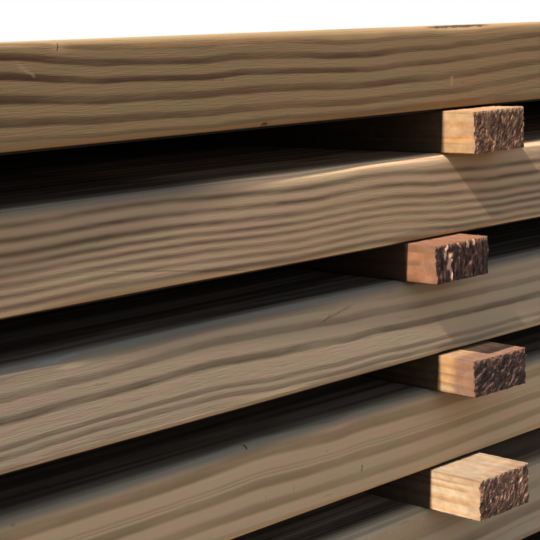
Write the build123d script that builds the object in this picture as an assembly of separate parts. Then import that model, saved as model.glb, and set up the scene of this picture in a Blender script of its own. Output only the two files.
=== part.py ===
from build123d import *
import math
import os

# Stack of treated softwood boards, laid flat in layers on thin spacers so that air passes between
# the layers. Millimetres. X runs along the boards, Y across the stack from the front side to the
# back side, Z up. The origin is on the floor, in the middle of the stack's underside.

# Boards, a nominal 2x6 dressed on four sides
board_length = 2438.0
board_width = 140.0
board_thickness = 38.0
edge_radius = 4.0

# Spacers, rough sawn 1x2 battens laid across the boards
spacer_width = 38.0
spacer_thickness = 20.0
spacer_overhang = 22.0

# Make-up of the stack
layer_count = 6
boards_per_layer = 5
board_gap = 4.0
spacer_columns = 4
column_end_margin = 200.0

# What sawing took off the spacers of each course, from the lowest course up
course_thickness_loss = (1.0, 0.3, 2.5, 2.4, 0.7)

# How far back each layer was laid, from the lowest layer up, and how it was turned in plan
layer_setback = (4.0, 7.1, 5.5, 1.1, 0.4, -4.0)
layer_turn = (0.1, 0.62, 0.24, 0.24, -0.31, 0.42)

# How unevenly the boards were laid: along their length, and sideways as a share of their gap
board_end_shift = (3.0, -5.0, 1.0, 6.0, -2.0, -7.0, 4.0)
board_side_share = (0.0, 0.18, -0.5, 0.22, -0.2, 0.1)

# How unevenly the spacers were laid and cut: a tuple for each column, from the lowest course up.
# Along the boards, then out at the front, then turned in plan, then the slope of the sawn ends.
spacer_line_shift = (
    (6.0, -9.0, 3.0, 14.0, -4.0),
    (-12.0, 5.0, 9.0, -6.0, 2.0),
    (1.5, -2.7, -1.3, -24.4, 1.2),
    (8.0, -3.0, -14.0, 4.0, 10.0),
)
spacer_front_shift = (
    (2.0, -3.0, 5.0, -1.0, -6.0),
    (-4.0, 3.0, -2.0, 6.0, 1.0),
    (4.0, 0.5, -1.7, -4.7, -2.7),
    (-2.0, 1.0, 4.0, -5.0, 3.0),
)
spacer_turn = (
    (0.4, -0.6, 0.2, 0.9, -0.3),
    (-0.5, 0.3, 0.7, -0.8, 0.2),
    (0.6, 0.0, -1.77, 0.21, 0.61),
    (0.3, -0.9, 0.5, 0.2, -0.6),
)
spacer_end_slope = (
    (2.0, -1.0, 0.5, -2.5, 1.0),
    (-1.5, 2.5, -0.5, 1.0, -2.0),
    (1.0, 0.0, 0.0, 0.0, 0.0),
    (-2.0, 1.5, 3.0, -1.0, 0.5),
)

# Worked out from the values above
board_pitch = board_width + board_gap
stack_width = boards_per_layer * board_width + (boards_per_layer - 1) * board_gap
spacer_length = stack_width + 2 * spacer_overhang
column_spacing = (board_length - 2 * column_end_margin) / (spacer_columns - 1)
course_count = layer_count - 1


def pick(values, index):
    """Take a value from a tuple that repeats when the stack has more places than values."""
    return values[index % len(values)]


def course_thickness(course):
    """Thickness of the spacers between one layer and the next."""
    return spacer_thickness - pick(course_thickness_loss, course)


def layer_bottom(layer):
    """Height of a layer's underside, with every course and layer below it."""
    spacers_below = sum(course_thickness(course) for course in range(layer))
    return layer * board_thickness + spacers_below


def make_board():
    """One board along X, its underside at Z 0, with its four long edges eased."""
    section = Plane.YZ * RectangleRounded(board_width, board_thickness, edge_radius)
    board = extrude(section, amount=board_length / 2, both=True)
    return Pos(0, 0, board_thickness / 2) * board


def make_spacer(thickness, end_slope):
    """One batten along Y from its front end at Y 0, with both ends sawn at the same slope."""
    half_width = spacer_width / 2
    slant = half_width * math.tan(math.radians(end_slope))
    plan = Polygon(
        (-half_width, slant),
        (half_width, -slant),
        (half_width, spacer_length - slant),
        (-half_width, spacer_length + slant),
        align=None,
    )
    return extrude(plan, amount=thickness)


def board_place(layer, row):
    """Where a board lies: layers count from the floor, rows from the front."""
    number = layer * boards_per_layer + row
    middle_row = (boards_per_layer - 1) / 2
    along = pick(board_end_shift, number)
    across = (row - middle_row) * board_pitch
    if row > 0:
        across += pick(board_side_share, number) * board_gap
    layer_place = Pos(0, pick(layer_setback, layer), layer_bottom(layer))
    return layer_place * Rot(0, 0, pick(layer_turn, layer)) * Pos(along, across, 0)


def spacer_place(course, column):
    """Where a spacer lies: on top of the layer whose number is its course."""
    middle_column = (spacer_columns - 1) / 2
    along = (column - middle_column) * column_spacing
    along += pick(pick(spacer_line_shift, column), course)
    front_end = -stack_width / 2 - spacer_overhang - pick(pick(spacer_front_shift, column), course)
    height = layer_bottom(course) + board_thickness
    turn = pick(pick(spacer_turn, column), course)
    return Pos(along, front_end, height) * Rot(0, 0, turn)


def make_stack():
    """Every board and spacer in its place, by name."""
    pieces = {}
    board = make_board()
    for layer in range(layer_count):
        for row in range(boards_per_layer):
            name = f"layer_{layer + 1}_board_{row + 1}"
            pieces[name] = board_place(layer, row) * board
    for course in range(course_count):
        for column in range(spacer_columns):
            name = f"course_{course + 1}_spacer_{column + 1}"
            end_slope = pick(pick(spacer_end_slope, column), course)
            spacer = make_spacer(course_thickness(course), end_slope)
            pieces[name] = spacer_place(course, column) * spacer
    return pieces


os.makedirs("parts", exist_ok=True)
for name, piece in make_stack().items():
    export_step(piece, f"parts/{name}.step")
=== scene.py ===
import math
import random
from functools import partial

import bpy
import numpy as np
from mathutils import Matrix, Vector


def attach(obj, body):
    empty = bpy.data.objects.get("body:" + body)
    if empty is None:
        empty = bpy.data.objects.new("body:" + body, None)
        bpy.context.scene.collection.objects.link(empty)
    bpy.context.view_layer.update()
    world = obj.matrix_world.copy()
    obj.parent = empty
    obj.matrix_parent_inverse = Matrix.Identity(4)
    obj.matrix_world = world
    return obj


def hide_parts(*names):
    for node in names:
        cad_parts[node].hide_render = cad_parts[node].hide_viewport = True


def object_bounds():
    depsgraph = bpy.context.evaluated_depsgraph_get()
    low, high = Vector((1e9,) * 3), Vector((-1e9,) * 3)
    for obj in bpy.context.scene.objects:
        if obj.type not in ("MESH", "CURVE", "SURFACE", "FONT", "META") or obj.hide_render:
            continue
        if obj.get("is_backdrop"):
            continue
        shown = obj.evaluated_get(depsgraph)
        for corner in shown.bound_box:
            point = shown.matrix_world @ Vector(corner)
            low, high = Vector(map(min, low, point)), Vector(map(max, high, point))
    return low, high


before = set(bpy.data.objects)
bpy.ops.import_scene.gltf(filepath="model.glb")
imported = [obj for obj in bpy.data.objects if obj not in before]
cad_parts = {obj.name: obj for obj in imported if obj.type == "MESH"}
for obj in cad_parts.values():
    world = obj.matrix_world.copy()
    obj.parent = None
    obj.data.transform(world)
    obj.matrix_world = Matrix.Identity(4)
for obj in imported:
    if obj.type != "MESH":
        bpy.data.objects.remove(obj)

# Stack of treated softwood boards on thin battens. Metres. X runs along the boards, Y from the
# front side to the back side, Z up. Every piece takes its place and size from the frame.

cad_low, cad_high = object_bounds()
MM = 0.001

# Camera, fitted to the board edges and batten corners in the photograph
IMAGE_SIZE = 540
FOCAL_PIXELS = 1492
SENSOR_WIDTH = 36.0
CAMERA_PLACE = Vector((-0.2075, -0.787, cad_high.z + 0.0003))
CAMERA_HEADING = math.radians(44.27)
CAMERA_DOWN = math.radians(9.08)
CAMERA_ROLL = math.radians(-2.16)

# Light: a low sun that grazes the front side from the upper left, a dim sky, a soft fill behind
SUN_TRAVEL = Vector((1.03, 0.076, -1.0))
SUN_STRENGTH = 6.6
SUN_COLOUR = (1.0, 0.92, 0.8)
SUN_WIDTH = math.radians(0.7)
FILL_TRAVEL = Vector((-0.4, -0.8, -0.8))
FILL_STRENGTH = 1.4
FILL_WIDTH = math.radians(25)
SKY_LEVEL = 0.92
SKY_EDGE = (-0.05, 0.3)
SKY_TOP = 0.45
SKY_ABOVE = (0.7, 0.92, 1.2)
SKY_ASIDE = (0.84, 0.96, 1.06)
FLOOR_PALE = (0.8, 0.79, 0.77)
FLOOR_BOUNCE = (0.16, 0.115, 0.07)
FLOOR_REACH = 14.0


# Small helpers for shader nodes. They find the node tree from a socket that they are given.

Socket = bpy.types.NodeSocket


def fill(tree, sockets, values):
    """Set sockets to values, colours without alpha, or join them to other sockets."""
    for name, value in values.items():
        if isinstance(value, Socket):
            tree.links.new(value, sockets[name])
        elif sockets[name].type == "RGBA":
            sockets[name].default_value = (*value, 1.0)
        else:
            sockets[name].default_value = value


def put(tree, kind, inputs=None, **settings):
    """A shader node with its settings and its inputs."""
    node = tree.nodes.new(kind)
    for name, value in settings.items():
        setattr(node, name, value)
    fill(tree, node.inputs, inputs or {})
    return node


def join(kind, inputs, **settings):
    """A shader node in the tree of the first socket among its inputs."""
    tree = next(value.id_data for value in inputs.values() if isinstance(value, Socket))
    return put(tree, kind, inputs, **settings)


def worked(operation, *values):
    """The result of a Math node."""
    return join("ShaderNodeMath", dict(enumerate(values)), operation=operation).outputs[0]


plus = partial(worked, "ADD")
minus = partial(worked, "SUBTRACT")
times = partial(worked, "MULTIPLY")
over = partial(worked, "DIVIDE")
times_plus = partial(worked, "MULTIPLY_ADD")
unsigned = partial(worked, "ABSOLUTE")
least = partial(worked, "MINIMUM")
most = partial(worked, "MAXIMUM")


def soft_step(value, low, high, start=0.0, end=1.0, kind="SMOOTHSTEP"):
    """A smooth rise from start to end while value goes from low to high."""
    inputs = {"Value": value, "From Min": low, "From Max": high, "To Min": start, "To Max": end}
    return join("ShaderNodeMapRange", inputs, interpolation_type=kind).outputs[0]


def fade(value, low, high):
    """A smooth fall from 1 to 0 while value goes from low to high."""
    return soft_step(value, low, high, 1.0, 0.0)


def split(position):
    """The X, Y and Z of a position."""
    return join("ShaderNodeSeparateXYZ", {0: position}).outputs


def joined(*parts):
    """A position from its X, Y and Z."""
    return join("ShaderNodeCombineXYZ", dict(enumerate(parts))).outputs[0]


def length_of(position):
    """How far a position is from the origin."""
    return join("ShaderNodeVectorMath", {0: position}, operation="LENGTH").outputs["Value"]


def grain_noise(position, scale, seed, detail=2.0, roughness=0.5):
    """Noise from 0 to 1 with so many cells a metre along the grain and across it."""
    offset = put(position.id_data, "ShaderNodeCombineXYZ", {0: seed, 1: seed, 2: seed}).outputs[0]
    inputs = {0: position, 1: (scale[0], scale[1], scale[-1]), 2: offset}
    place = join("ShaderNodeVectorMath", inputs, operation="MULTIPLY_ADD").outputs[0]
    inputs = {"Vector": place, "Scale": 1.0, "Detail": detail, "Roughness": roughness}
    return join("ShaderNodeTexNoise", inputs).outputs["Fac"]


def line_noise(value):
    """Noise from 0 to 1 along a line."""
    inputs = {"W": value, "Scale": 1.0, "Detail": 1.0}
    return join("ShaderNodeTexNoise", inputs, noise_dimensions="1D").outputs["Fac"]


def dice_of(value):
    """A random level and a random colour for each value."""
    return join("ShaderNodeTexWhiteNoise", {"W": value}, noise_dimensions="1D").outputs


def centred(value, size):
    """A value from 0 to 1 turned into one round 0, as wide as the size."""
    return times(minus(value, 0.5), size)


def mixed(factor, first, second, blend="MIX"):
    """Two colours mixed by a factor."""
    inputs = {0: factor, 6: first, 7: second}
    return join("ShaderNodeMix", inputs, data_type="RGBA", blend_type=blend).outputs[2]


def tinted_by(colour, tint):
    """A colour multiplied by another."""
    return mixed(1.0, colour, tint, "MULTIPLY")


def scaled_colour(colour, low, high, factor):
    """A colour times low where the factor is 0 and times high where it is 1."""
    level = soft_step(factor, 0.0, 1.0, low, high)
    return tinted_by(colour, joined(level, level, level))


def line_through(value, points, interpolation="CARDINAL"):
    """A level that follows given points of place and level, both from 0 to 1."""
    node = join("ShaderNodeValToRGB", {"Fac": value})
    ramp = node.color_ramp
    ramp.interpolation = interpolation
    while len(ramp.elements) > 1:
        ramp.elements.remove(ramp.elements[-1])
    for number, (place, level) in enumerate(points):
        stop = ramp.elements[0] if number == 0 else ramp.elements.new(place)
        stop.position = place
        stop.color = (level, level, level, 1.0)
    return join("ShaderNodeSeparateColor", {0: node.outputs["Color"]}).outputs[0]


EFFECTS = {}


def effect(*outputs):
    """Turns the recipe below into a node group, with its parameters as inputs."""

    def build(recipe):
        group = bpy.data.node_groups.new(recipe.__name__.replace("_", " "), "ShaderNodeTree")
        parameters = recipe.__code__.co_varnames[: recipe.__code__.co_argcount]
        for name in parameters:
            kind = "NodeSocketVector" if name == "position" else "NodeSocketFloat"
            socket = name.replace("_", " ").title()
            group.interface.new_socket(socket, in_out="INPUT", socket_type=kind)
        for name in outputs:
            group.interface.new_socket(name, in_out="OUTPUT", socket_type="NodeSocketFloat")
        given = group.nodes.new("NodeGroupInput").outputs
        values = recipe(*given[: len(parameters)])
        values = values if isinstance(values, tuple) else (values,)
        fill(group, group.nodes.new("NodeGroupOutput").inputs, dict(zip(outputs, values)))
        EFFECTS[recipe.__name__] = group
        return recipe

    return build


def use(name, **inputs):
    """A group placed in a material, with its inputs by name."""
    inputs = {socket.replace("_", " ").title(): value for socket, value in inputs.items()}
    return join("ShaderNodeGroup", inputs, node_tree=EFFECTS[name]).outputs


# Effects that more than one material uses

@effect("Radius", "Angle")
def ring_radius(position, pith_across, pith_up, lean_up, drift, wander, seed):
    """How far each point is from a pith along X, with the slow wander of real rings."""
    x, y, z = split(position)
    across = minus(y, pith_across)
    up = minus(minus(z, pith_up), times(x, lean_up))
    slow = centred(grain_noise(position, (2.2, 6), seed, 1.0), drift)
    middle = centred(grain_noise(position, (9, 16), seed), wander)
    fine = centred(grain_noise(position, (38, 70), seed), times(wander, 0.8))
    moved = plus(length_of(joined(0.0, across, up)), plus(slow, plus(middle, fine)))
    return moved, worked("ARCTAN2", up, across)


@effect("Latewood")
def growth_rings(radius, ring_width, seed):
    """Dark latewood at the outer side of each ring, with rings of uneven width and strength."""
    count = over(radius, ring_width)
    count = times_plus(line_noise(times_plus(count, 0.37, seed)), 2.2, count)
    share = worked("FRACT", count)
    tone = dice_of(plus(worked("FLOOR", count), seed))["Value"]
    rise = soft_step(share, times_plus(tone, 0.35, 0.15), 0.84)
    return times(times(rise, fade(share, 0.88, 1.0)), soft_step(tone, 0.0, 1.0, 1.0, 0.5))


@effect("Streak", "Hue", "Grit", "Fleck", "Check")
def wood_fibre(position, seed):
    """Streaks of tone and of hue, grit, short dark flecks and drying checks along the grain."""
    streak = grain_noise(position, (5, 300), seed, 3.0, 0.6)
    fleck = grain_noise(position, (60, 900), seed, 1.0)
    line = grain_noise(position, (2.4, 110), seed, 1.0)
    where = grain_noise(position, (3, 22), seed, 1.0)
    check = times(fade(unsigned(minus(line, 0.5)), 0.0, 0.007), soft_step(where, 0.62, 0.7))
    hue = grain_noise(position, (34, 260), seed)
    grit = grain_noise(position, (130, 2300), seed, 1.0)
    return streak, soft_step(hue, 0.3, 0.7), grit, soft_step(fleck, 0.7, 0.8), check


@effect("Arris", "Low")
def arris(position, half_width, half_thickness, reach):
    """How near a point is to a long edge of a piece centred on X, and if it is low on the piece."""
    _, y, z = split(position)
    further = most(minus(half_width, unsigned(y)), minus(half_thickness, unsigned(z)))
    return fade(further, times(reach, 0.3), reach), fade(z, -0.002, 0.002)


@effect("Damp", "Grey")
def damp(
    position, half_length, half_width, half_thickness,
    behind_front, behind_back, covered, dry_edge, grey_until,
):
    """Painted shade: dark where a board is covered by those over and under it, away from its open sides
    and ends, and on its underside below the shade edge; and a painted blue-grey shade on its top edge.
    """
    x, y, z = split(position)
    front = plus(plus(half_width, y), behind_front)
    back = plus(minus(half_width, y), behind_back)
    side = least(least(front, back), minus(half_length, unsigned(x)))
    above = times(soft_step(side, 0.0008, 0.011), covered)
    below = fade(plus(z, half_thickness), minus(dry_edge, 0.0006), dry_edge)
    grey = fade(minus(half_thickness, z), 0.0004, 0.005)
    return most(above, below), times(grey, fade(minus(x, grey_until), -0.02, 0.02))


@effect("Mark")
def mark(position, along, up, middle_along, middle_up, turn, half_length, half_width):
    """A short ragged mark on a face: a nick, a splinter or a stain."""
    along, up = minus(along, middle_along), minus(up, middle_up)
    sine, cosine = worked("SINE", turn), worked("COSINE", turn)
    run = times_plus(along, cosine, times(up, sine))
    rise = minus(times(up, cosine), times(along, sine))
    ragged = grain_noise(position, (300, 300), 3.0)
    rise = plus(rise, centred(ragged, times(half_width, 2.6)))
    length = fade(over(unsigned(run), half_length), 0.6, 1.0)
    return times(length, fade(over(unsigned(rise), half_width), 0.5, 1.1))


@effect("Ridge")
def tool_marks(position, pitch, slant, seed):
    """Ridges left across the grain by a planer or a saw, stronger in patches."""
    x, y, _ = split(position)
    uneven = grain_noise(position, (14, 6), seed, 1.0)
    turns = times_plus(uneven, 1.6, over(times_plus(y, slant, x), pitch))
    patch = grain_noise(position, (7, 16), seed)
    return times(worked("SINE", times(turns, 2 * math.pi)), soft_step(patch, 0.38, 0.62, 0.25, 1.0))


@effect("Knot", "Halo", "Rim")
def knots(position, pith_across, pith_up, spacing, size, seed):
    """Branches that grow out from the pith, one in each length of spacing."""
    x, y, z = split(position)
    cells = plus(over(x, spacing), seed)
    cell = worked("FLOOR", cells)
    first, second, third = join("ShaderNodeSeparateColor", {0: dice_of(cell)["Color"]}).outputs
    along = times(minus(minus(cells, cell), times_plus(first, 0.5, 0.25)), spacing)
    across, up = minus(y, pith_across), minus(z, pith_up)
    heading = times(second, 2 * math.pi)
    sine, cosine = worked("SINE", heading), worked("COSINE", heading)
    outward = times_plus(up, sine, times(across, cosine))
    sideways = minus(times(up, cosine), times(across, sine))
    distance = length_of(joined(minus(along, times(outward, 0.25)), sideways))
    distance = plus(distance, centred(grain_noise(position, (70, 70), seed), 0.005))
    size = times(times(size, times_plus(third, 0.8, 0.4)), soft_step(outward, 0.0, 0.05, 0.3, 1.0))
    ratio = over(distance, most(size, 0.0005))
    out = soft_step(outward, -0.002, 0.002)
    knot = times(fade(ratio, 0.85, 1.1), out)
    return knot, times(fade(ratio, 0.9, 3.6), out), times(knot, soft_step(ratio, 0.6, 1.0))


@effect("Patch", "Speck")
def weathering(position, seed):
    """Slow patches of tone along a piece, and specks of dirt."""
    patch = grain_noise(position, (4, 18), seed, 3.0)
    speck = grain_noise(position, (260, 340), seed, 1.0)
    return soft_step(patch, 0.3, 0.7), soft_step(speck, 0.76, 0.84)


@effect("Crack", "Fibre", "Stain")
def end_grain(position, angle, seed):
    """A cut end: dark, with cracks that run out from the pith and coarse torn fibre."""
    ray = line_noise(plus(times(angle, 7.0), seed))
    where = grain_noise(position, (40, 40), seed, 1.0)
    crack = times(fade(unsigned(minus(ray, 0.5)), 0.0, 0.02), soft_step(where, 0.5, 0.62))
    fibre = grain_noise(position, (900, 1100), seed)
    stain = grain_noise(position, (30, 45), seed, 3.0)
    return crack, fibre, soft_step(stain, 0.35, 0.65)


# How the five front boards look, read off the photograph. A band is where dark latewood ends
# and how far back up it reaches, in millimetres down the front face, and how dark it is. A wave is
# how far the bands wander down (plus) or up (minus) at places along the board, all in millimetres,
# near the top of the face and near its bottom. A mark is a place along and down, a turn, a half
# length and half width, a colour and a strength.

FACE_START = 0.08
FACE_END = 0.4
WAVE_SIZE = 14.0

# The outline of a band: how far back each point is as a share of its width, then its darkness, a
# fixed part and a share of the band's. Flat bands stay dark for a while, the others come to a point.
BAND_FLAT = ((1.2, 0.03, 0.0), (0.7, 0.0, 0.85), (0.22, 0.0, 1.0), (-0.12, 0.0, 0.0))
BAND_RISE = ((1.0, 0.05, 0.0), (0.45, 0.0, 1.0), (-0.12, 0.0, 0.0))

FRONT_LOOKS = {}
FRONT_LOOKS["layer_6_board_1"] = dict(
    pale=(0.379, 0.253, 0.136), dark=(0.098, 0.051, 0.032), tint=(0.353, 0.208, 0.11),
    pith=(-0.015, 0.055), dry_edge=0.0014, edge=2.3, warm=(1.18, 0.97, 0.78),
    marks=(
        (108, 2.3, 72, 1.8, 0.3, (0.05, 0.03, 0.02), 0.8),
        (335, 0.5, 0, 26, 0.6, (0.06, 0.045, 0.035), 0.9),
        (185, 3, 0.4, 60, 0.9, (0.46, 0.24, 0.11), 0.45),
        (94, 9.8, -32, 5, 0.8, (0.52, 0.38, 0.22), 0.5),
        (328, 25, 80, 2.8, 1, (0.62, 0.4, 0.2), 0.45),
        (318, 34.6, 0, 30, 1.2, (0.42, 0.2, 0.07), 0.6),
        (252, 35.4, 0, 14, 0.7, (0.42, 0.22, 0.08), 0.5),
        (208, 36.1, 0, 1.9, 0.7, (0.04, 0.03, 0.02), 0.8),
    ),
    streak=0.14,
    bands=(
        (5, 2.2, 0.5), (10.8, 2.9, 1), (16.9, 2.7, 1), (24, 3.4, 0.9), (30.9, 3.2, 0.85),
        (35.4, 1.8, 0.45),
    ),
    wave_top=(
        (80, -5.4), (92, -4.4), (104, -3), (120, -1.6), (140, -0.6), (160, -0.1), (178, 0.3),
        (190, -0.4), (220, -0.2), (240, 0.5), (266, 1.7), (284, 0.8), (325, 0), (350, -1.2), (372, -2.4),
        (400, -3.6),
    ),
    wave_low=(
        (80, -1.6), (104, -1.2), (120, -0.6), (150, -0.4), (178, 0.3), (200, -0.2), (220, -0.4),
        (266, 0.7), (310, 0.2), (330, -0.1), (350, -1.3), (400, -4.2),
    ),
    plateau=True,
)
FRONT_LOOKS["layer_5_board_1"] = dict(
    pale=(0.593, 0.414, 0.275), dark=(0.131, 0.084, 0.056), tint=(0.441, 0.285, 0.162),
    # The warm colour below paints light on the low edge, and the last colour paints a highlight on the
    # top edge where the shade ends.
    pith=(-0.03, 0.05), grey_until=0.18, edge=2.5, warm=(1.5, 1.46, 1.34), worn=(1.38, 1.36, 1.32),
    marks=(
        (162, 32, -7.6, 44, 0.36, (0.1, 0.065, 0.045), 0.4),
        (325, 36.3, 0, 40, 0.9, (0.52, 0.26, 0.09), 0.5),
    ),
    bands=(
        (6.9, 3.8, 0.82), (11.9, 3.6, 0.94), (16.9, 3.8, 0.94), (20.4, 3, 0.85), (23.8, 3, 0.82),
        (27.6, 3.5, 0.8), (31.1, 3.1, 0.78), (35.2, 3.5, 0.75), (37.8, 1.8, 0.45),
    ),
    wave_top=(
        (80, -0.2), (120, -0.7), (145, -0.9), (165, -0.5), (182, 0.1), (200, 0.8), (220, 1.4),
        (240, 1.4), (260, 0.6), (280, 0.4), (300, 1.4), (320, 2.5), (345, 3.5), (400, 4.2),
    ),
    wave_low=(
        (80, -0.1), (120, -0.7), (150, -0.7), (180, 0.1), (200, 1), (220, 1.6), (240, 1.4), (262, 0.8),
        (280, 1.1), (300, 2.4), (320, 3.8), (345, 5), (400, 5.6),
    ),
    streak=0.16,
)
FRONT_LOOKS["layer_4_board_1"] = dict(
    pale=(0.555, 0.408, 0.286), dark=(0.156, 0.107, 0.074), tint=(0.446, 0.329, 0.211),
    pith=(-0.045, 0.045),
    marks=(
        (254, 7.6, 12, 12, 0.55, (0.3, 0.19, 0.08), 0.6),
        (249, 8.6, 30, 3, 0.4, (0.12, 0.07, 0.04), 0.5),
        (108, 1, 2, 12, 0.6, (0.62, 0.56, 0.5), 0.6),
    ),
    bands=(
        (5, 3.6, 0.3), (11.2, 3.4, 0.65), (19.3, 3.3, 0.92), (28.3, 2.2, 0.7), (31.9, 2.3, 0.7),
        (36, 2.4, 0.35),
    ),
    wave_top=(
        (80, 0.3), (100, 0.3), (120, 0), (140, -0.6), (160, -1.4), (180, -1.9), (195, -1.6), (230, -0.6),
        (245, -0.1), (258, 0.7), (272, 0.9), (290, 1.6), (310, 2.4), (330, 2.8), (400, 3.2),
    ),
    wave_low=(
        (80, 0.6), (100, -0.2), (120, -1), (140, -1.1), (180, -1), (196, 0), (212, 1.3), (240, 1.9),
        (260, 2.4), (280, 2.1), (300, 3), (320, 3.4), (400, 3.8),
    ),
    streak=0.08, plateau=True,
)
FRONT_LOOKS["layer_3_board_1"] = dict(
    pale=(0.726, 0.51, 0.337), dark=(0.311, 0.197, 0.102), tint=(0.56, 0.371, 0.212),
    pith=(-0.055, 0.06), unbroken=0.74,
    marks=(
        (262.5, 25.8, 86, 2, 0.5, (0.12, 0.075, 0.05), 0.7),
        (219, 24.4, 84, 1.5, 0.25, (0.16, 0.1, 0.07), 0.45),
        (193, 0.5, 60, 1.1, 0.6, (0.05, 0.035, 0.03), 0.8),
    ),
    bands=(
        (8.4, 5.6, 0.8), (15.8, 2.6, 0.48), (21, 5.2, 0.8), (30.4, 4.4, 0.75), (37.2, 2.4, 0.5),
    ),
    wave_top=(
        (80, 0.5), (130, 0.6), (165, 0.2), (185, -0.6), (200, -1.2), (215, -0.4), (245, 1), (258, 0.4),
        (272, 0.6), (300, 1.5), (330, 1.6), (400, 1.6),
    ),
    wave_low=(
        (80, -0.2), (150, -0.5), (200, -0.4), (245, 0.2), (280, 0.9), (310, 0.9), (340, 0), (400, -1.2),
    ),
    streak=0.08, plateau=True,
)
FRONT_LOOKS["layer_2_board_1"] = dict(
    pale=(0.579, 0.443, 0.309), dark=(0.211, 0.135, 0.096), tint=(0.421, 0.306, 0.202),
    pith=(-0.03, 0.05), marks=((292, 9, 0, 44, 6, (0.52, 0.355, 0.2), 0.6),),
    bands=((13, 5, 0.4), (26, 6, 0.85), (30, 1.6, 0.3), (37.6, 2.6, 0.55)),
    wave_top=((80, 0), (200, 0.8), (300, 1.2), (400, -0.6)),
    wave_low=((80, 0.4), (200, 0), (300, 1.4), (360, 0.6), (400, -1)), streak=0.1, plateau=True,
    grey_until=-9, top_ridge=2,
)

# What every board shares: colours, how far in a long edge shows, its sheen and relief
KNOT_WOOD = (0.2, 0.095, 0.045)
KNOT_RIM = (0.05, 0.028, 0.018)
BOARD_FLECK = (0.1, 0.062, 0.04)
BOARD_DIRT = (0.07, 0.055, 0.045)
DRYING_CHECK = (0.045, 0.03, 0.022)
# Painted shade: a blue-grey tint for shaded top edges, and the dark colours of the underside and of
# covered faces in the gaps.
GREYED = (0.42, 0.48, 0.56)
SOAKED_BELOW = (0.028, 0.024, 0.023)
SOAKED_ABOVE = (0.14, 0.118, 0.124)
CUT_PALE = (0.3, 0.205, 0.125)
CUT_DARK = (0.15, 0.09, 0.058)
CUT_STAIN = (0.17, 0.135, 0.105)
END_CRACK = (0.03, 0.02, 0.015)
ARRIS_REACH = 0.0038
BOARD_SHEEN = 0.12
BOARD_RELIEF = 0.00006

# How a board looks where its own look doesn't say otherwise
PLAIN_BOARD = dict(
    lean=0.0, knot_spacing=0.45, knot_size=0.0, unbroken=0.66, streak=0.16, dry_edge=0.0012,
    warm=(1.14, 1.03, 0.88), top_ridge=0.2,
)


def ring_chart(radius, look, half_width, half_thickness):
    """Latewood from listed bands: each height on the face is a ring radius."""
    pith_across, pith_up = look["pith"]

    def reach(height):
        """The ring radius at a height, in metres down from the middle of the front face."""
        return math.hypot(half_width + pith_across, pith_up + height)

    top, bottom = reach(-half_thickness), reach(half_thickness)
    points = [(0.0, 0.0)]
    for end, width, darkness in look["bands"]:
        for back, level, share in BAND_FLAT if "plateau" in look else BAND_RISE:
            height = (end - width * back) * MM - half_thickness
            points.append(((reach(height) - top) / (bottom - top), level + darkness * share))
    return line_through(worked("FRACT", over(minus(radius, top), bottom - top)), points, "EASE")


def face_wave(position, look):
    """How far the listed bands of a board wander along it, in metres."""
    x, _, z = split(position)
    along = soft_step(x, FACE_START, FACE_END, kind="LINEAR")
    levels = []
    for name in ("wave_top", "wave_low"):
        points = [
            ((place * MM - FACE_START) / (FACE_END - FACE_START), 0.5 + shift / WAVE_SIZE)
            for place, shift in look[name]
        ]
        levels.append(line_through(along, points))
    level = times_plus(fade(z, -0.017, 0.017), minus(levels[1], levels[0]), levels[0])
    return centred(level, WAVE_SIZE * MM)


def new_material(name):
    """An empty node material, its tree and its Principled shader."""
    material = bpy.data.materials.new(name)
    material.use_nodes = True
    tree = material.node_tree
    tree.nodes.clear()
    shader = tree.nodes.new("ShaderNodeBsdfPrincipled")
    put(tree, "ShaderNodeOutputMaterial", {"Surface": shader.outputs[0]})
    return material, tree, shader


def bare_wood(name, look, seed):
    """A new material, its shader, what its effects share, and its pith."""
    material, tree, shader = new_material(name)
    position = put(tree, "ShaderNodeTexCoord").outputs["Object"]
    pith = dict(zip(("pith_across", "pith_up"), look.get("pith", ())))
    return material, shader, {"position": position, "seed": float(seed)}, pith


def finish(shader, colour, roughness, sheen, relief, depth):
    """Join a finish to its shader. A relief of 1 stands up by the depth, in metres."""
    tree = shader.id_data
    bump = put(tree, "ShaderNodeBump", {"Height": relief, "Strength": 1.0, "Distance": depth})
    inputs = {"Base Color": colour, "Roughness": roughness, "Normal": bump.outputs[0]}
    fill(tree, shader.inputs, {**inputs, "Diffuse Roughness": 1.0, "Specular IOR Level": sheen})


def add_marks(colour, position, along, up, marks):
    """A colour with marks laid over it."""
    for middle_along, middle_up, turn, half_length, half_width, paint, strength in marks:
        sizes = {"half_length": half_length * MM, "half_width": half_width * MM}
        middle = {"middle_along": middle_along * MM, "middle_up": middle_up * MM}
        turned = {"along": along, "up": up, "turn": math.radians(turn)}
        mark = use("mark", position=position, **turned, **middle, **sizes)["Mark"]
        colour = mixed(times(mark, strength), colour, paint)
    return colour


def board_latewood(look, radius, position, half_width, half_thickness, seed):
    """The dark part of a board's rings: from its bands where they are listed."""
    if "bands" not in look:
        return use("growth_rings", radius=radius, ring_width=look["ring"], seed=float(seed))["Latewood"]
    wave = face_wave(position, look)
    slope = over(minus(look["pith"][1], split(position)[2]), most(radius, 0.01))
    return ring_chart(minus(radius, times(wave, slope)), look, half_width, half_thickness)


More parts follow.
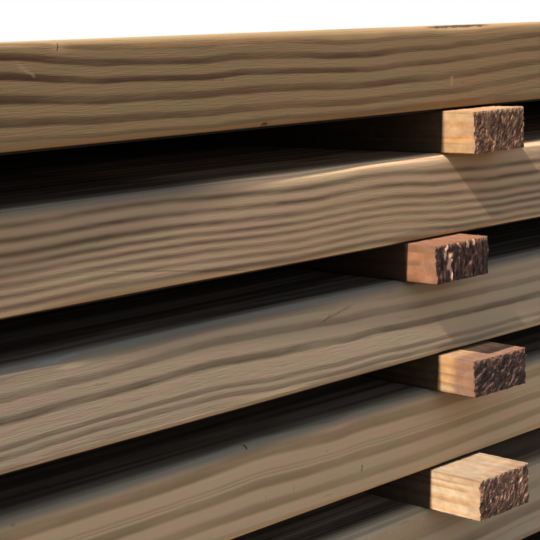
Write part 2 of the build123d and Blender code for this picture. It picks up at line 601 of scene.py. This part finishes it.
def paint_board(node, look, size, seed):
    """The finish of a board: rings, fibre, planer marks, knots, dirt and weathered ends, with painted
    shade in the gaps and on its top edge, and painted light on its long edges.
    """
    covered = not node.startswith("layer_6")
    # Covered boards get the painted shade on the top edge all along, the top layer none.
    look = {**PLAIN_BOARD, "grey_until": 9.0 if covered else -9.0, **look}
    half_length, half_width, half_thickness = size / 2
    section = {"half_width": half_width, "half_thickness": half_thickness}
    material, shader, shared, pith = bare_wood(f"board_wood_{seed}", look, seed)
    position = shared["position"]
    x, y, z = split(position)
    drift, wandering = (0.0, 0.0012) if "bands" in look else (0.01, 0.005)
    rings = use("ring_radius", **shared, **pith, lean_up=look["lean"], drift=drift, wander=wandering)
    knots = use("knots", **shared, **pith, spacing=look["knot_spacing"], size=look["knot_size"])
    radius = minus(rings["Radius"], times(knots["Halo"], 0.006))
    latewood = board_latewood(look, radius, position, half_width, half_thickness, seed)
    fibre = use("wood_fibre", **shared)
    streak = fibre["Streak"]
    weather = use("weathering", **shared)
    arris = use("arris", position=position, **section, reach=ARRIS_REACH)
    ridge = use("tool_marks", **shared, pitch=0.0032, slant=0.1)["Ridge"]

    strength = grain_noise(position, (22, 160), seed + 9.0, 4.0, 0.62)
    latewood = times(latewood, soft_step(strength, 0.3, 0.62, look["unbroken"], 1.06))
    streak_size = look["streak"]
    wood = mixed(plus(latewood, centred(streak, streak_size * 1.6)), look["pale"], look["dark"])
    wood = mixed(times(weather["Patch"], 0.45), wood, look["tint"])
    wood = scaled_colour(wood, 1.0 - streak_size, 1.0 + streak_size, streak)
    wood = tinted_by(wood, mixed(fibre["Hue"], (1.04, 0.98, 0.98), (0.96, 1.015, 0.94)))
    # Painted light: the low long edge is tinted warm, and on some boards brightened, for light bounced
    # up from below.
    low_edge = times(arris["Arris"], arris["Low"])
    wood = mixed(low_edge, wood, look["warm"], "MULTIPLY")
    # Painted highlight: the top long edges are made paler past the place where the painted shade ends,
    # where the sun falls on them.
    if "worn" in look:
        bare = soft_step(x, look["grey_until"] - 0.02, look["grey_until"] + 0.05)
        high_edge = minus(arris["Arris"], low_edge)
        wood = mixed(times(high_edge, bare), wood, look["worn"], "MULTIPLY")
    wood = mixed(knots["Knot"], wood, mixed(knots["Rim"], KNOT_WOOD, KNOT_RIM))
    wood = mixed(times(fibre["Fleck"], 0.3), wood, BOARD_FLECK)
    wood = mixed(times(weather["Speck"], 0.35), wood, BOARD_DIRT)
    wood = mixed(fibre["Check"], wood, DRYING_CHECK)
    if "marks" in look:
        marks = [(along, half_thickness / MM - down, *rest) for along, down, *rest in look["marks"]]
        on_front = fade(y, 0.002 - half_width, 0.006 - half_width)
        wood = mixed(on_front, wood, add_marks(wood, position, x, z, marks))

    # Painted shade where other boards cover this one, on its underside and on its top edge.
    damp = use(
        "damp", position=position, half_length=half_length, **section,
        behind_front=0.0 if node.endswith("board_1") else 1.0,
        behind_back=0.0 if node.endswith("board_5") else 1.0,
        covered=0.9 if covered else 0.0, dry_edge=look["dry_edge"], grey_until=look["grey_until"],
    )
    # Painted shade: the top edge is tinted blue-grey up to the place along the board where the shade
    # ends.
    wood = mixed(damp["Grey"], wood, GREYED, "MULTIPLY")
    # Painted shade in the gaps and under the board, striped along the grain; these parts are also
    # rougher.
    lines = grain_noise(position, (3, 170), seed + 6.0, 2.0, 0.6)
    stripe = scaled_colour(wood, 0.1, 2.1, soft_step(lines, 0.3, 0.7))
    soaked = mixed(soft_step(z, -0.002, 0.002), SOAKED_BELOW, SOAKED_ABOVE)
    wood = mixed(damp["Damp"], wood, tinted_by(stripe, soaked))

    end = use("end_grain", **shared, angle=rings["Angle"])
    cut = mixed(latewood, CUT_PALE, CUT_DARK)
    cut = mixed(times(end["Stain"], 0.55), cut, CUT_STAIN)
    cut = mixed(end["Crack"], scaled_colour(cut, 0.75, 1.25, end["Fibre"]), END_CRACK)
    on_end = fade(minus(half_length, unsigned(x)), 0.0003, 0.0008)

    relief = plus(times(latewood, 0.5), centred(streak, 0.9))
    relief = plus(relief, centred(fibre["Grit"], 1.4))
    on_top = soft_step(z, half_thickness - 0.002, half_thickness - 0.0005, 0.04, look["top_ridge"])
    relief = minus(times_plus(ridge, on_top, relief), times(fibre["Check"], 2.5))
    relief = times_plus(minus(times(end["Fibre"], 4.0), relief), on_end, relief)
    roughness = most(soft_step(streak, 0.0, 1.0, 0.74, 0.9), damp["Damp"])
    finish(shader, mixed(on_end, wood, cut), roughness, BOARD_SHEEN, relief, BOARD_RELIEF)
    return material


# Where the frame has each piece

def placed(name, data):
    """A new object in the scene."""
    piece = bpy.data.objects.new(name, data)
    bpy.context.scene.collection.objects.link(piece)
    return piece


def long_piece(node, long_way):
    """Centre, turn in plan, size and end slant of a long piece, from its corners in the frame."""
    corners = np.array([vertex.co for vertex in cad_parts[node].data.vertices])
    corners = np.unique(corners, axis=0)
    far = corners[:, long_way] > corners[:, long_way].mean()
    start, finish = corners[~far].mean(axis=0), corners[far].mean(axis=0)
    run = finish - start
    heading = math.atan2(run[1], run[0])
    forward = np.array((math.cos(heading), math.sin(heading), 0.0))
    side = np.array((-math.sin(heading), math.cos(heading), 0.0))
    low, high = corners.min(axis=0)[2], corners.max(axis=0)[2]
    size = np.array((np.linalg.norm(run), np.ptp(corners @ side), high - low))
    centre = (start + finish) / 2
    centre[2] = (high + low) / 2
    near = corners[~far]
    left = near @ side > (near @ side).mean()
    slant = ((near[left] @ forward).mean() - (near[~left] @ forward).mean()) / size[1]
    return Vector(centre), heading, size, slant


# Random lines and sheets, the same each run

def between(share, first, second):
    """From the first value to the second, eased at both."""
    share = share * share * (3 - 2 * share)
    return first * (1 - share) + second * share


def wander(places, spacing, seed):
    """A smooth random line from -1 to 1 along a piece, with a new value at each spacing."""
    dice = random.Random(seed)
    first = math.floor(float(places.min()) / spacing)
    count = int((places.max() - places.min()) / spacing) + 4
    levels = np.array([dice.uniform(-1, 1) for _ in range(count)])
    turns = places / spacing - first
    index = turns.astype(int)
    return between(turns - index, levels[index], levels[index + 1])


def rough_sheet(across, up, wide, high, seed):
    """A smooth random sheet from -1 to 1, with a new value at each wide by high cell."""
    dice = np.random.default_rng(seed)
    u = (across - across.min()) / wide
    v = (up - up.min()) / high
    grid = dice.uniform(-1, 1, (int(u.max()) + 3, int(v.max()) + 3))
    i, j = u.astype(int), v.astype(int)
    low = between(u - i, grid[i, j], grid[i + 1, j])
    return between(v - j, low, between(u - i, grid[i, j + 1], grid[i + 1, j + 1]))


# Boards

EDGE_RADIUS = 2.8
VISIBLE_START = 0.05
VISIBLE_END = 0.42

# How far a front board crooks forward: places along it and distances, both in millimetres
CROOKS = {"layer_4_board_1": ((150, 0.0), (290, 0.45), (420, 0.45), (700, 0.0))}

# Dents in the arrises of the front boards: place along the board, edge, depth and length, in
# millimetres. The edges are numbered from the top front one round by the bottom front one.
TOP_FRONT, BOTTOM_FRONT, BOTTOM_BACK = range(3)
DENTS = {
    "layer_6_board_1": (
        (108, TOP_FRONT, 0.5, 2.5), (208, BOTTOM_FRONT, 0.5, 2.0), (240, BOTTOM_FRONT, 0.4, 1.6),
        (338, TOP_FRONT, 0.5, 16.0),
    ),
    "layer_5_board_1": ((150, BOTTOM_FRONT, 0.5, 40.0), (292, BOTTOM_FRONT, 0.5, 6.0)),
    "layer_4_board_1": ((112, TOP_FRONT, 0.6, 6.0), (330, BOTTOM_FRONT, 0.4, 8.0)),
    "layer_3_board_1": ((198, TOP_FRONT, 0.9, 1.6),), "layer_2_board_1": (),
}


def section_points(width, thickness, radius, wide_steps, narrow_steps, corner_steps):
    """Points round a section with eased corners, the way out at each, and their edges."""
    y_side, z_side = width / 2 - radius, thickness / 2 - radius
    sides = ((-y_side, z_side), (-y_side, -z_side), (y_side, -z_side), (y_side, z_side))
    corners = [(*side, start) for side, start in zip(sides, (0.5, 1.0, 1.5, 0.0))]

    def on_arc(corner, share):
        """A place on the arc of a corner, and the way out there."""
        y, z, start = corner
        angle = math.pi * (start + 0.5 * share)
        way = math.cos(angle), math.sin(angle)
        return y + radius * way[0], z + radius * way[1], *way

    points = []
    for edge, corner in enumerate(corners):
        for step in range(corner_steps + 1):
            share = step / corner_steps
            weight = math.sin(math.pi * share) ** 0.5 if 0 < step < corner_steps else 0.0
            points.append((*on_arc(corner, share), edge, weight))
        y, z, *way = on_arc(corner, 1.0)
        next_y, next_z, *_ = on_arc(corners[(edge + 1) % 4], 0.0)
        steps = narrow_steps if edge in (TOP_FRONT, BOTTOM_BACK) else wide_steps
        for step in range(1, steps):
            share = step / steps
            flat = (y * (1 - share) + next_y * share, z * (1 - share) + next_z * share)
            points.append((*flat, *way, edge, 0.0))
    return np.array(points)


def stations_along(half_length, fine):
    """Places along a board where its section is drawn: closer together where the camera looks."""
    ends = half_length - np.array((0.0, 0.4, 1.2)) * MM
    if fine:
        left = np.arange(-half_length + 12 * MM, VISIBLE_START, 12 * MM)
        middle = np.arange(VISIBLE_START, VISIBLE_END, 2.5 * MM)
        right = np.arange(VISIBLE_END, half_length - 8 * MM, 12 * MM)
        inner = np.concatenate((left, middle, right))
    else:
        inner = np.linspace(-half_length + 12 * MM, half_length - 12 * MM, 118)
    return np.concatenate((-ends, inner, ends[::-1]))


def build_mesh(node, vertices, sides, caps):
    """A mesh with smooth sides and flat end faces."""
    mesh = bpy.data.meshes.new(node + "_wood")
    mesh.from_pydata(vertices.tolist(), [], sides + caps)
    mesh.polygons.foreach_set("use_smooth", [True] * len(sides) + [False] * len(caps))
    mesh.update()
    return mesh


def tube_faces(station_count, ring_count):
    """The faces between one section and the next, all along a piece."""
    faces = []
    for low in range(0, (station_count - 1) * ring_count, ring_count):
        for point in range(ring_count):
            after = (point + 1) % ring_count
            faces.append((low + point, low + after, low + ring_count + after, low + ring_count + point))
    return faces


def make_board(node, front, seed):
    """One board in its own frame, X along it, with eased edges, slightly rubbed and dented."""
    centre, heading, size, _ = long_piece(node, 0)
    length, width, thickness = size
    steps = (24, 12, 8) if front else (12, 5, 5)
    radius = FRONT_LOOKS.get(node, {}).get("edge", EDGE_RADIUS) * MM
    section = section_points(width, thickness, radius, *steps)
    section_y, section_z, out_y, out_z, edges, weights = section.T
    along = stations_along(length / 2, front)
    inset = np.zeros((len(along), len(section)))
    for edge in range(4):
        wear = 0.16 * (1 + wander(along, 0.055, seed * 7 + edge))
        wear += 0.08 * (1 + wander(along, 0.012, seed * 11 + edge))
        inset += np.outer(wear, np.where(edges == edge, weights, 0.0)) * MM
    dice = random.Random(seed * 13)
    dents = list(DENTS.get(node, ()))
    for _ in range(10):
        place = dice.uniform(-length / 2, length / 2)
        if not (node in DENTS and VISIBLE_START < place < VISIBLE_END):
            dents.append((place / MM, dice.randrange(4), dice.uniform(0.3, 1.1), dice.uniform(2.0, 9.0)))
    for place, edge, depth, reach in dents:
        shape = np.exp(-(((along / MM - place) / reach) ** 2))
        inset += np.outer(shape, np.where(edges == edge, weights, 0.0)) * depth * MM
    inset += np.outer(0.1 * (1 + wander(along, 0.16, seed * 17)), np.abs(out_y) > 0.999) * MM
    for station, ease in ((0, 0.7), (1, 0.2), (-2, 0.2), (-1, 0.7)):
        inset[station] += ease * MM
    y = section_y - inset * out_y
    z = section_z - inset * out_z
    if node in CROOKS:
        places, shifts = zip(*CROOKS[node])
        y -= np.interp(along / MM, places, shifts)[:, None] * MM
    x = np.broadcast_to(along[:, None], y.shape)
    count = len(section)
    last = (len(along) - 1) * count
    caps = [tuple(reversed(range(count))), tuple(range(last, last + count))]
    vertices = np.stack((x, y, z), axis=-1).reshape(-1, 3)
    mesh = build_mesh(node, vertices, tube_faces(len(along), count), caps)
    return set_in_frame(mesh, node, centre, heading, "treated_board"), size


def set_in_frame(mesh, node, centre, heading, slot):
    """A new piece at its node's place, riding with the frame and standing for the node."""
    piece = placed(mesh.name, mesh)
    piece.location = centre
    piece.rotation_euler = (0.0, 0.0, heading)
    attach(piece, "root")
    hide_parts(node)
    return piece


# Battens

BATTEN_CELL = 0.6 * MM
BATTEN_COARSE_CELL = 3.2 * MM
TORN_DEPTH = 2.5 * MM
BATTEN_FLECK = (0.25, 0.12, 0.06)
BATTEN_DIRT = (0.12, 0.08, 0.06)
BATTEN_SHEEN = 0.25
SAWN_RELIEF = 0.00012
TORN_RELIEF = 0.00045

# How the four battens in view look, from the top one down: the colours of their wood, of its front
# part and of the end, where the front part and the painted shade of the gap start (millimetres from
# the end), the pith, the ring width, the tilt of the torn fibre across the end, and how ragged the end
# is.
FRONT_BATTENS = {}
FRONT_BATTENS["course_5_spacer_3"] = dict(
    top=(0.8, 0.76, 0.8), inside=16, pale=(0.48, 0.296, 0.148), dark=(0.4, 0.205, 0.08),
    front=(0.41, 0.25, 0.146), front_from=4, end_pale=(0.43, 0.225, 0.14),
    end_dark=(0.068, 0.029, 0.019), torn=(0.78, 0.49, 0.33), torn_from=0.46, pith=(0.03, 0.045),
    ring=0.004, tear=math.radians(122), rag=1, fringe=2.6,
    slivers=((7.2, -3.4, 40, 6, 0.7, (0.62, 0.32, 0.14), 0.85),),
)
FRONT_BATTENS["course_4_spacer_3"] = dict(
    top=(0.72, 0.66, 0.72), inside=16, pale=(0.305, 0.146, 0.078), dark=(0.18, 0.076, 0.04),
    front=(0.26, 0.128, 0.072), front_from=10, end_pale=(0.12, 0.056, 0.04),
    end_dark=(0.018, 0.008, 0.008), torn=(0.5, 0.27, 0.18), torn_from=0.85, pith=(-0.025, 0.035),
    ring=0.0045, tear=math.radians(95), rag=1.5,
    slivers=(
        (11.8, 5.4, 122, 4.2, 1.2, (0.84, 0.5, 0.35), 0.95),
        (9.6, 0.8, 100, 4.6, 1.4, (0.82, 0.48, 0.33), 0.95),
        (8.4, -5.2, 86, 3.6, 0.9, (0.7, 0.4, 0.28), 0.9),
        (2.5, 7.4, 60, 2, 0.9, (0.66, 0.36, 0.22), 0.85),
        (-3, 7, 100, 1.8, 0.8, (0.66, 0.38, 0.24), 0.8),
        (-8, 7.4, 80, 1.6, 0.8, (0.66, 0.38, 0.24), 0.8),
        (-5, -1.5, 138, 9, 0.6, (0.26, 0.12, 0.08), 0.8),
    ),
    fringe=1.8,
)
FRONT_BATTENS["course_3_spacer_3"] = dict(
    top=(0.74, 0.7, 0.76), inside=19.5, pale=(0.43, 0.262, 0.125), dark=(0.31, 0.164, 0.078),
    front=(0.215, 0.112, 0.075), front_from=13, end_pale=(0.18, 0.1, 0.074),
    end_dark=(0.022, 0.01, 0.009), torn=(0.66, 0.44, 0.33), torn_from=0.56, pith=(0.02, -0.04),
    ring=0.0042, tear=math.radians(142), rag=1.5, fringe=2.2,
)
FRONT_BATTENS["course_2_spacer_3"] = dict(
    top=(0.55, 0.555, 0.62), inside=27.5, pale=(0.49, 0.35, 0.218), dark=(0.39, 0.215, 0.094),
    front=(0.42, 0.27, 0.16), front_from=8, end_pale=(0.4, 0.218, 0.148), end_dark=(0.062, 0.029, 0.019),
    torn=(0.86, 0.56, 0.42), torn_from=0.48, pith=(0.015, 0.05),
    ring=0.0038, tear=math.radians(125), rag=1.2, fringe=1.4,
)


def even_places(half, step):
    """Places from one face to the other, with a narrow first and last cell for the eased edge."""
    count = max(3, round(2 * half / step))
    ease = min(0.45 * MM, half / count)
    inner = np.linspace(-half + ease, half - ease, count)
    return np.concatenate(([-half], inner, [half]))


def make_batten(node, look, in_view, seed):
    """One sawn batten in its own frame, X along it from its front end, with torn ragged ends."""
    centre, heading, size, slant = long_piece(node, 1)
    length, width, thickness = size
    cell = BATTEN_CELL if in_view else BATTEN_COARSE_CELL
    across, up = even_places(width / 2, cell), even_places(thickness / 2, cell)
    wide, high = len(across), len(up)
    if in_view:
        near_front = np.concatenate((np.arange(0.6, 8.0, 0.6), np.arange(8.0, 40.0, 1.6))) * MM
    else:
        near_front = np.array((0.8, 2.0, 6.0, 20.0, 40.0)) * MM
    far = np.linspace(0.05, length - 0.02, 26 if in_view else 16)
    back = length - np.array((6.0, 2.0, 0.8)) * MM
    run = np.concatenate(([0.0], near_front, far, back, [length]))

    ring = [(i, 0) for i in range(wide)]
    ring += [(wide - 1, j) for j in range(1, high)]
    ring += [(i, high - 1) for i in range(wide - 2, -1, -1)]
    ring += [(0, j) for j in range(high - 2, 0, -1)]
    columns, levels = np.array(ring).T
    ring_y, ring_z = across[columns], up[levels]
    edge_y = 1.0 * (columns == wide - 1) - (columns == 0)
    edge_z = 1.0 * (levels == high - 1) - (levels == 0)
    corner = (edge_y != 0) & (edge_z != 0)
    grid = np.meshgrid(across, up, indexing="ij")
    ends = [torn_end(*grid, width / 2, thickness / 2, look, seed * 5 + end) for end in range(2)]

    count, last = len(ring), len(run) - 1
    girth = np.arange(count) * cell
    level = np.zeros(count)
    rows = []
    for number, from_front in enumerate(run):
        place = from_front - length / 2
        saw = 0.03 * wander(np.array([place, place + 1e-6]), 0.0035, seed * 3)[0]
        inset = 0.12 + saw + 0.1 * rough_sheet(girth, level, 1.7 * MM, 1.0, seed * 1000 + number)
        inset += corner * (0.35 + 0.25 * rough_sheet(girth, level, 1.0, 1.0, seed + number)[0])
        if number in (0, last):
            inset += 0.25 + 0.25 * rough_sheet(girth, level, 2.2 * MM, 1.0, seed * 9 + number)
        shares = [max(0.0, 1.0 - gap / TORN_DEPTH) for gap in (from_front, length - from_front)]
        torn = [share * end[columns, levels] for share, end in zip(shares, ends)]
        x = place + torn[0] - torn[1] + slant * ring_y
        y, z = ring_y - edge_y * inset * MM, ring_z - edge_z * inset * MM
        rows.append(np.stack((x, y, z), axis=-1))

    total = count * len(run)
    caps = []
    for station, sign, end in ((0, 1, ends[0]), (last, -1, ends[1])):
        names = {pair: station * count + number for number, pair in enumerate(ring)}
        extra = []
        for i in range(1, wide - 1):
            for j in range(1, high - 1):
                names[(i, j)] = total + len(extra)
                x = run[station] - length / 2 + sign * end[i, j] + slant * across[i]
                extra.append((x, across[i], up[j]))
        total += len(extra)
        rows.append(np.array(extra))
        for i in range(wide - 1):
            for j in range(high - 1):
                loop = (names[(i, j)], names[(i, j + 1)], names[(i + 1, j + 1)], names[(i + 1, j)])
                caps.append(loop[::sign])
    sides = tube_faces(len(run), count)
    mesh = build_mesh(node, np.concatenate(rows), sides, caps)
    mesh.polygons.foreach_set("material_index", [0] * len(sides) + [1] * len(caps))
    return set_in_frame(mesh, node, centre, heading, "spacer_batten"), size


def torn_end(y, z, half_width, half_thickness, look, seed):
    """How far the torn end is cut back at each point of its face, in metres."""
    tear = look["tear"]
    along_tear = y * math.cos(tear) + z * math.sin(tear)
    over_tear = -y * math.sin(tear) + z * math.cos(tear)
    coarse = rough_sheet(y, z, 7 * MM, 7 * MM, seed)
    tufts = rough_sheet(along_tear, over_tear, 4.5 * MM, 1.1 * MM, seed + 1)
    fine = rough_sheet(along_tear, over_tear, 1.6 * MM, 0.7 * MM, seed + 2)
    edge = np.minimum(half_width - np.abs(y), half_thickness - np.abs(z))
    ragged = rough_sheet(y + z, y - z, 1.8 * MM, 1.8 * MM, seed + 3)
    chips = np.clip(1.0 - edge / (1.4 * MM), 0.0, 1.0) * (0.5 + 0.7 * ragged)
    relief = 0.35 + 0.2 * coarse + 0.38 * tufts + 0.25 * fine + 0.55 * np.clip(chips, 0, 1)
    return relief * look["rag"] * MM


def paint_batten(name, look, size, seed):
    """The finish of a batten's sawn sides, with painted shade on its top and inside the gap."""
    half_length, _, half_thickness = size / 2
    material, shader, shared, pith = bare_wood(name, look, seed)
    position = shared["position"]
    x, _, z = split(position)
    radius = use("ring_radius", **shared, **pith, lean_up=0.0, drift=0.004, wander=0.002)["Radius"]
    latewood = use("growth_rings", radius=radius, ring_width=look["ring"], seed=float(seed))["Latewood"]
    fibre = use("wood_fibre", **shared)
    streak = fibre["Streak"]
    speck = use("weathering", **shared)["Speck"]
    ridge = use("tool_marks", **shared, pitch=0.0018, slant=0.2)["Ridge"]
    on_top = soft_step(z, half_thickness - 0.0012, half_thickness - 0.0004)
    late = times(plus(latewood, centred(streak, 0.5)), times_plus(on_top, -0.65, 1.0))
    wood = mixed(late, look["pale"], look["dark"])
    reach = look["front_from"] * MM
    ragged = plus(plus(x, half_length), centred(streak, 0.006))
    near = soft_step(ragged, reach - 3.0 * MM, reach + 3.0 * MM, 0.85, 0.0)
    wood = scaled_colour(mixed(near, wood, look["front"]), 0.78, 1.22, streak)
    wood = tinted_by(wood, mixed(fibre["Hue"], (1.04, 0.95, 0.86), (0.97, 1.045, 1.12)))
    mottle = grain_noise(position, (170, 260), seed + 3.0, 3.0, 0.6)
    wood = scaled_colour(wood, 0.7, 1.3, mottle)
    # Painted shade: the top face is made darker and bluer by the top colour.
    wood = mixed(times(on_top, 0.8), wood, look["top"], "MULTIPLY")
    wood = mixed(times(fibre["Fleck"], 0.25), wood, BATTEN_FLECK)
    wood = mixed(times(speck, 0.3), wood, BATTEN_DIRT)
    # Painted shade: the sides fall to about a tenth of their colour where the gap between the boards
    # shades them.
    from_end = minus(half_length, unsigned(x))
    inside = soft_step(from_end, look["inside"] * MM, (look["inside"] + 3.5) * MM)
    wood = scaled_colour(wood, 1.0, 0.12, inside)
    relief = times_plus(ridge, 0.1, centred(streak, 1.6))
    roughness = soft_step(streak, 0.0, 1.0, 0.8, 0.95)
    finish(shader, wood, roughness, BATTEN_SHEEN, relief, SAWN_RELIEF)
    return material


def paint_batten_end(name, look, size, seed):
    """The finish of a batten's torn, weathered ends."""
    half_thickness = size[2] / 2
    material, shader, shared, _ = bare_wood(name, look, seed)
    position = shared["position"]
    inputs = {"Vector": position, "Angle": -look["tear"]}
    turned = join("ShaderNodeVectorRotate", inputs, rotation_type="X_AXIS").outputs[0]
    fibre = grain_noise(turned, (420, 280, 760), float(seed), 2.0, 0.6)
    fine = grain_noise(turned, (1100, 760, 1500), seed + 5.0, 2.0, 0.6)
    patch = grain_noise(position, (60, 110), float(seed), 2.0)
    level = plus(plus(centred(fibre, 3.0), centred(fine, 1.2)), centred(patch, 1.0))
    colour = mixed(soft_step(level, -0.35, 0.6), look["end_dark"], look["end_pale"])
    # Pale torn fibre; the pale flecks also stand for sun caught on the torn bumps, so they are partly a
    # painted highlight.
    torn = soft_step(level, look["torn_from"], look["torn_from"] + 0.35)
    colour = mixed(torn, colour, look["torn"])
    _, y, z = split(position)
    fringe = plus(z, centred(fine, look["fringe"] * 2.4 * MM))
    fringe = soft_step(fringe, half_thickness - look["fringe"] * MM, half_thickness - 0.0002, 0.0, 0.9)
    colour = mixed(fringe, colour, look["front"])
    colour = add_marks(colour, position, y, z, look.get("slivers", ()))
    roughness = soft_step(fibre, 0.0, 1.0, 0.75, 0.95)
    finish(shader, colour, roughness, BATTEN_SHEEN, plus(fibre, fine), TORN_RELIEF)
    return material


# Looks of the pieces that the photograph doesn't show, drawn from a fixed set

BOARD_TONES = (
    ((0.42, 0.29, 0.165), (0.2, 0.12, 0.075), (0.35, 0.225, 0.125)),
    ((0.45, 0.33, 0.215), (0.24, 0.165, 0.11), (0.39, 0.29, 0.185)),
    ((0.4, 0.3, 0.18), (0.215, 0.145, 0.095), (0.345, 0.275, 0.17)),
    ((0.48, 0.345, 0.22), (0.28, 0.185, 0.115), (0.42, 0.28, 0.165)),
)
BATTEN_TONES = (
    ((0.48, 0.3, 0.15), (0.4, 0.205, 0.085), (0.4, 0.24, 0.14)),
    ((0.5, 0.345, 0.2), (0.41, 0.235, 0.105), (0.44, 0.275, 0.16)),
    ((0.33, 0.17, 0.092), (0.24, 0.108, 0.056), (0.28, 0.142, 0.082)),
)


def random_tones(dice, choices, names, darkest):
    """One of a set of tones, made a little darker or lighter."""
    tones = dice.choice(choices)
    change = dice.uniform(darkest, 1.08)
    return {name: tuple(round(part * change, 4) for part in tone) for name, tone in zip(names, tones)}


def random_board_look(dice):
    return dict(
        **random_tones(dice, BOARD_TONES, ("pale", "dark", "tint"), 0.88),
        pith=(dice.uniform(-0.05, 0.05), dice.choice((-1, 1)) * dice.uniform(0.02, 0.09)),
        ring=dice.uniform(0.0026, 0.006), lean=dice.uniform(-0.01, 0.01),
        knot_spacing=dice.uniform(0.35, 0.6), knot_size=dice.uniform(0.008, 0.016),
    )


def random_batten_look(dice):
    return dict(
        **random_tones(dice, BATTEN_TONES, ("pale", "dark", "front"), 0.9),
        front_from=dice.uniform(3.0, 14.0), end_pale=(0.25, 0.15, 0.105),
        end_dark=(0.045, 0.024, 0.018), torn=(0.5, 0.33, 0.24), torn_from=0.7, fringe=1.6,
        pith=(dice.uniform(-0.03, 0.03), dice.choice((-1, 1)) * dice.uniform(0.03, 0.05)),
        ring=dice.uniform(0.003, 0.0048), inside=20.0, top=(0.78, 0.74, 0.8),
        tear=math.radians(dice.uniform(0, 180)), rag=dice.uniform(0.9, 1.5),
    )


def lay_boards():
    """Every board of the stack, with its own wood."""
    dice = random.Random(26)
    nodes = sorted(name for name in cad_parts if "board" in name)
    for seed, node in enumerate(nodes, 1):
        random_look = random_board_look(dice)
        piece, size = make_board(node, node in FRONT_LOOKS, seed)
        piece.data.materials.append(paint_board(node, FRONT_LOOKS.get(node, random_look), size, seed))


def lay_battens():
    """Every batten of the stack, with its own wood and torn ends."""
    dice = random.Random(62)
    nodes = sorted(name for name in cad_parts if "spacer" in name)
    for number, node in enumerate(nodes, 1):
        random_look = random_batten_look(dice)
        look = FRONT_BATTENS.get(node, random_look)
        seed = number + 40
        piece, size = make_batten(node, look, node in FRONT_BATTENS, seed)
        piece.data.materials.append(paint_batten(f"batten_wood_{number}", look, size, seed))
        piece.data.materials.append(paint_batten_end(f"batten_end_{number}", look, size, seed))


# Floor, sky, lamps and camera

def seen_plainly(tree):
    """1 for the floor and sky that the camera sees, straight or through gloss or glass."""
    path = put(tree, "ShaderNodeLightPath").outputs
    return most(most(path["Is Camera Ray"], path["Is Glossy Ray"]), path["Is Transmission Ray"])


def make_floor():
    """A plain pale floor that stays white to the camera and sends back a little warm light."""
    mesh = bpy.data.meshes.new("studio_floor")
    reach = FLOOR_REACH
    corners = [(-reach, -reach, 0.0), (reach, -reach, 0.0), (reach, reach, 0.0), (-reach, reach, 0.0)]
    mesh.from_pydata(corners, [], [(0, 1, 2, 3)])
    floor = placed("studio_floor", mesh)
    floor.location.z = -0.0002
    material, tree, shader = new_material("studio_floor_paint")
    colour = mixed(seen_plainly(tree), FLOOR_BOUNCE, FLOOR_PALE)
    fill(tree, shader.inputs, {"Base Color": colour, "Roughness": 0.9, "Specular IOR Level": 0.1})
    mesh.materials.append(material)
    floor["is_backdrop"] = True


def make_sky():
    """White to the camera and a dim sky to the wood: cool from above, a little warm from aside."""
    world = bpy.data.worlds.new("studio_sky")
    bpy.context.scene.world = world
    world.use_nodes = True
    tree = world.node_tree
    tree.nodes.clear()
    z = split(put(tree, "ShaderNodeTexCoord").outputs["Generated"])[2]
    colour = mixed(soft_step(z, 0.2, 0.9), SKY_ASIDE, SKY_ABOVE)
    level = soft_step(z, *SKY_EDGE, 0.0, SKY_LEVEL)
    level = times(level, soft_step(z, 0.45, 0.95, 1.0, SKY_TOP))
    dim = put(tree, "ShaderNodeBackground", {"Color": colour, "Strength": level})
    white = put(tree, "ShaderNodeBackground", {"Color": (1.0, 1.0, 1.0), "Strength": 1.0})
    inputs = {0: seen_plainly(tree), 1: dim.outputs[0], 2: white.outputs[0]}
    blend = put(tree, "ShaderNodeMixShader", inputs)
    put(tree, "ShaderNodeOutputWorld", {"Surface": blend.outputs[0]})


def add_sun(name, travel, strength, colour, width):
    lamp = bpy.data.lights.new(name, "SUN")
    lamp.energy = strength
    lamp.color = colour
    lamp.angle = width
    sun = placed(name, lamp)
    sun.location = (0.0, 0.0, 3.0)
    sun.rotation_mode = "QUATERNION"
    sun.rotation_quaternion = travel.to_track_quat("-Z", "Y")


def add_camera():
    """The photograph's camera: its place, heading, tilt and roll."""
    lens = bpy.data.cameras.new("photo_camera")
    lens.sensor_fit = "HORIZONTAL"
    lens.sensor_width = SENSOR_WIDTH
    lens.lens = FOCAL_PIXELS * SENSOR_WIDTH / IMAGE_SIZE
    lens.clip_start = 0.01
    lens.clip_end = 100.0
    camera = placed("photo_camera", lens)
    turn = Matrix.Rotation(-CAMERA_HEADING, 4, "Z")
    turn = turn @ Matrix.Rotation(math.pi / 2 - CAMERA_DOWN, 4, "X")
    turn = turn @ Matrix.Rotation(CAMERA_ROLL, 4, "Z")
    camera.matrix_world = Matrix.Translation(CAMERA_PLACE) @ turn
    bpy.context.scene.camera = camera


lay_boards()
lay_battens()
make_floor()
make_sky()
add_sun("low_sun", SUN_TRAVEL, SUN_STRENGTH, SUN_COLOUR, SUN_WIDTH)
add_sun("soft_fill", FILL_TRAVEL, FILL_STRENGTH, (1.0, 1.0, 1.0), FILL_WIDTH)
add_camera()
bpy.context.scene.view_settings.view_transform = "Standard"

bpy.context.view_layer.update()
new_low, new_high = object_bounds()
boxes = {
    "cad": [list(cad_low), list(cad_high)],
    "visual": [list(new_low), list(new_high)],
}
